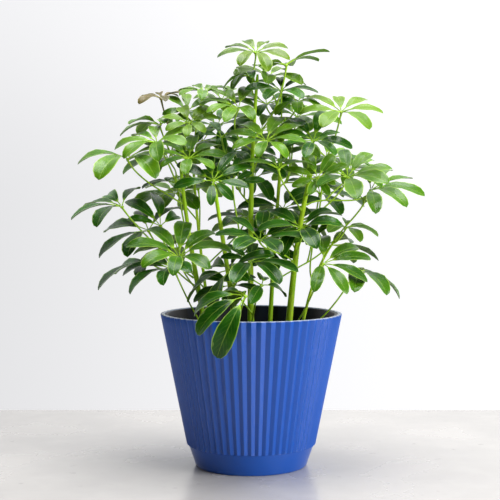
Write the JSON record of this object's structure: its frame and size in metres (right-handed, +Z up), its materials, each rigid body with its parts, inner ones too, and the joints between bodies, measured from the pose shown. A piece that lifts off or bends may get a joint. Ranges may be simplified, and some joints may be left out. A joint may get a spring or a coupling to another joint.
{
  "type": "potted umbrella plant",
  "caption": "Potted dwarf umbrella plant: palmate green leaves on upright stems in potting mix, held by a black insert in a pleated blue pot with a smooth foot band.",
  "frame": {"origin": "middle of the pot's flat base, where it stands", "axes": "+Z up along the pot's axis, -Y towards the front that the picture shows, +X to the right as seen from the front"},
  "size_m": [0.3807, 0.276, 0.4707],
  "materials": {
    "pot_blue": "satin blue plastic",
    "insert_black": "matt black plastic",
    "potting_mix": "dark crumbly potting mix",
    "stem_green": "green young stem",
    "leaf_dark": "waxy dark green leaf",
    "leaf_fresh": "waxy mid green leaf",
    "leaf_young": "soft lime green young leaf"
  },
  "bodies": {
    "root": {"outer_pot": "pot_blue", "inner_pot": "insert_black", "soil": "potting_mix", "stem_1": "stem_green", "stem_2": "stem_green", "stem_3": "stem_green", "stem_4": "stem_green", "stem_5": "stem_green", "stem_6": "stem_green", "stem_7": "stem_green", "leaf_01": "leaf_fresh", "leaf_17": "leaf_fresh", "leaf_24": "leaf_dark", "leaf_13": "leaf_fresh", "leaf_15": "leaf_dark", "leaf_27": "leaf_fresh", "leaf_28": "leaf_fresh", "leaf_29": "leaf_fresh", "leaf_32": "leaf_young", "leaf_20": "leaf_dark", "leaf_07": "leaf_fresh", "leaf_19": "leaf_dark", "leaf_23": "leaf_dark", "leaf_26": "leaf_dark", "leaf_43": "leaf_dark", "leaf_35": "leaf_dark", "leaf_31": "leaf_fresh", "leaf_39": "leaf_fresh", "leaf_37": "leaf_fresh", "leaf_38": "leaf_dark", "leaf_05": "leaf_fresh", "leaf_08": "leaf_young", "leaf_12": "leaf_fresh", "leaf_09": "leaf_fresh", "leaf_40": "leaf_fresh", "leaf_04": "leaf_dark", "leaf_02": "leaf_fresh", "leaf_03": "leaf_dark", "leaf_18": "leaf_dark", "leaf_16": "leaf_dark", "leaf_14": "leaf_dark", "leaf_11": "leaf_fresh", "leaf_10": "leaf_young", "leaf_06": "leaf_dark", "leaf_21": "leaf_dark", "leaf_22": "leaf_dark", "leaf_25": "leaf_dark", "leaf_30": "leaf_young", "leaf_33": "leaf_dark", "leaf_34": "leaf_fresh", "leaf_36": "leaf_fresh", "leaf_41": "leaf_young", "leaf_42": "leaf_fresh", "leaf_44": "leaf_dark", "leaf_45": "leaf_fresh", "leaf_46": "leaf_dark", "leaf_47": "leaf_fresh", "leaf_48": "leaf_fresh", "leaf_49": "leaf_dark", "leaf_50": "leaf_dark"}
  },
  "joints": []
}
